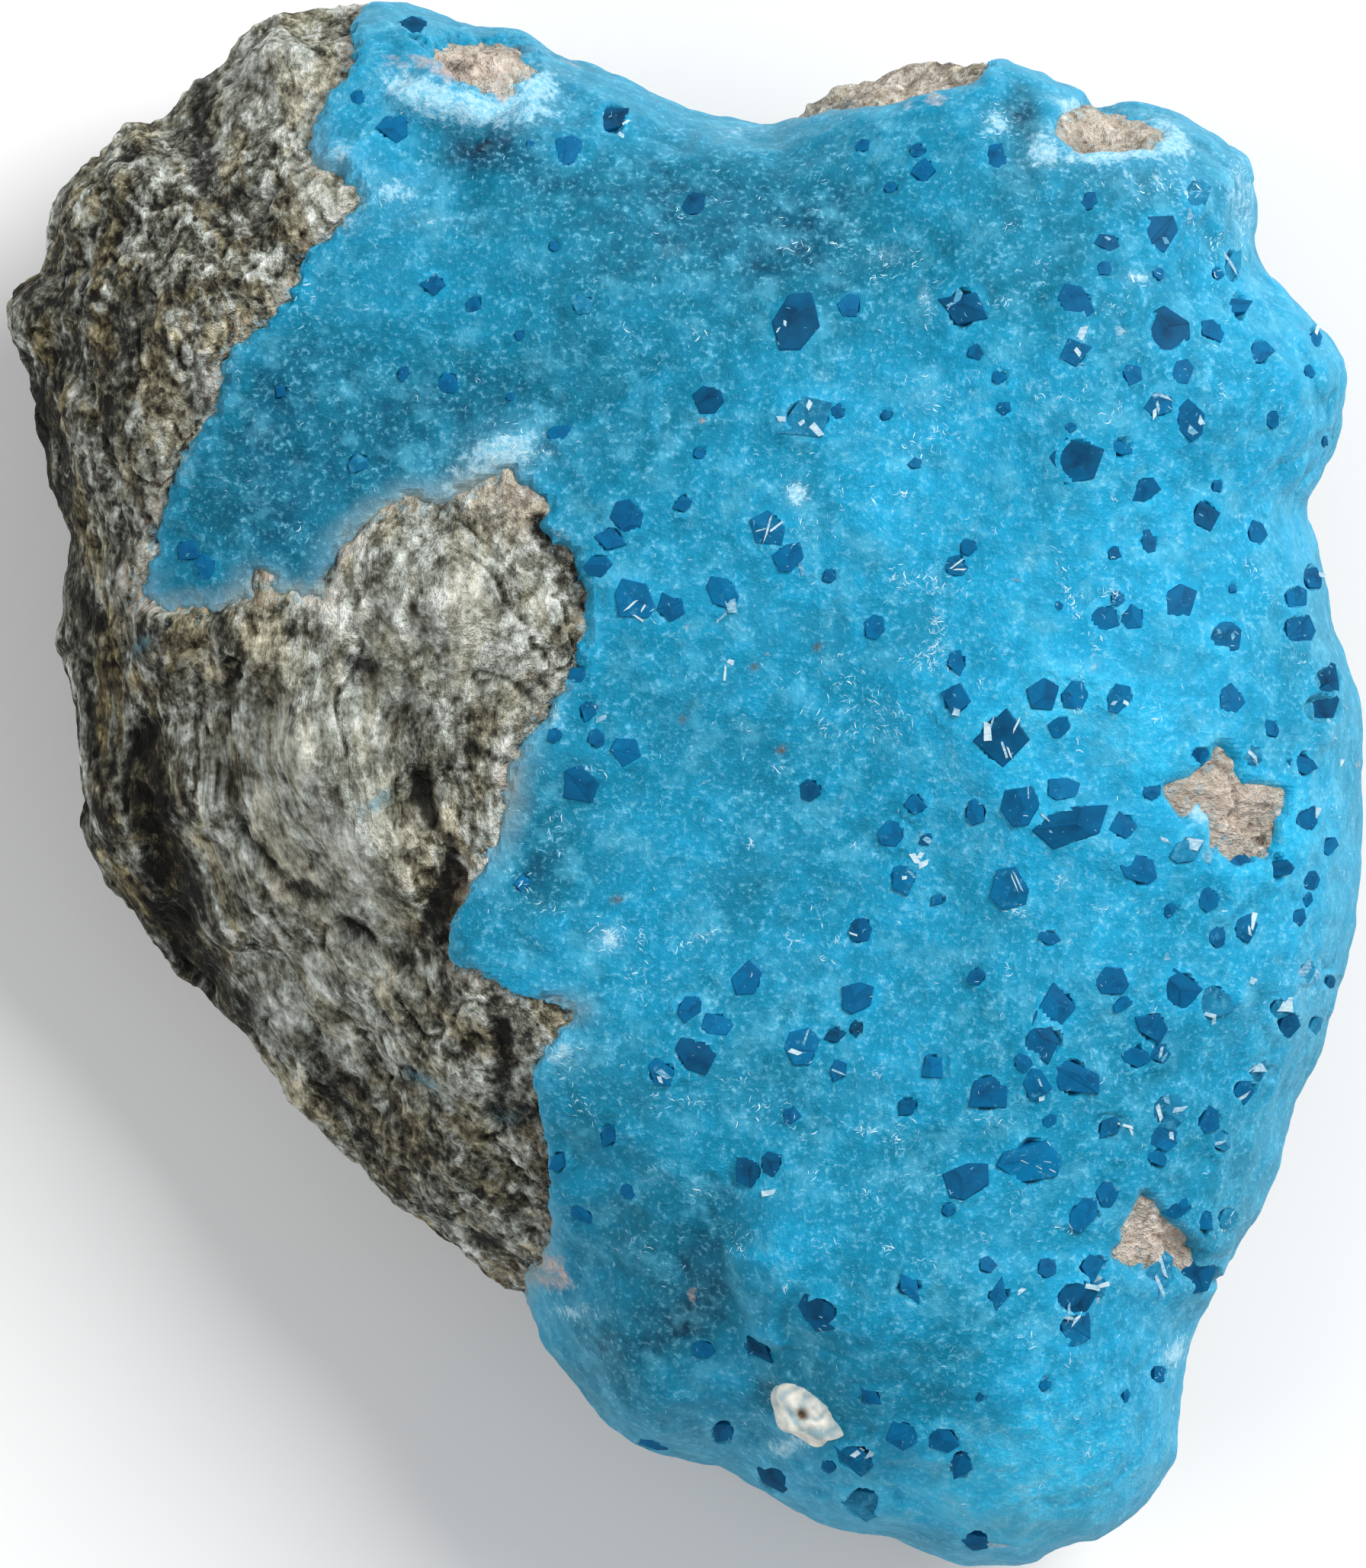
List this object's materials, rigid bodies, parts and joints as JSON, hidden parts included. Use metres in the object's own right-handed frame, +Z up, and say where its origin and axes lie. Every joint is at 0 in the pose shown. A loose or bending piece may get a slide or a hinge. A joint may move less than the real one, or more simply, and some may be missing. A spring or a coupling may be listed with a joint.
{
  "type": "hemimorphite specimen",
  "caption": "Broken piece of grey-brown host rock, its face and edges grown over by a sky-blue hemimorphite crust with angular dark-blue crystals.",
  "frame": {"origin": "middle of the bounding box at the resting plane, under the piece as it lies on its back", "axes": "+Z up out of the blue face, +Y the long way of the heart-shaped face towards its notched end, +X towards the edge away from the bare rock"},
  "size_m": [0.0803, 0.0924, 0.0335],
  "materials": {
    "host_rock": "rough broken grey and tan-brown rock, layered and speckled, nearly black in its grooves",
    "hemimorphite": "waxy translucent sky-blue crust with a fine sugary sparkle, frosted whitish edges and glassy dark-blue crystals"
  },
  "bodies": {
    "root": {"matrix": "host_rock", "hemimorphite_crust": "hemimorphite"}
  },
  "joints": []
}
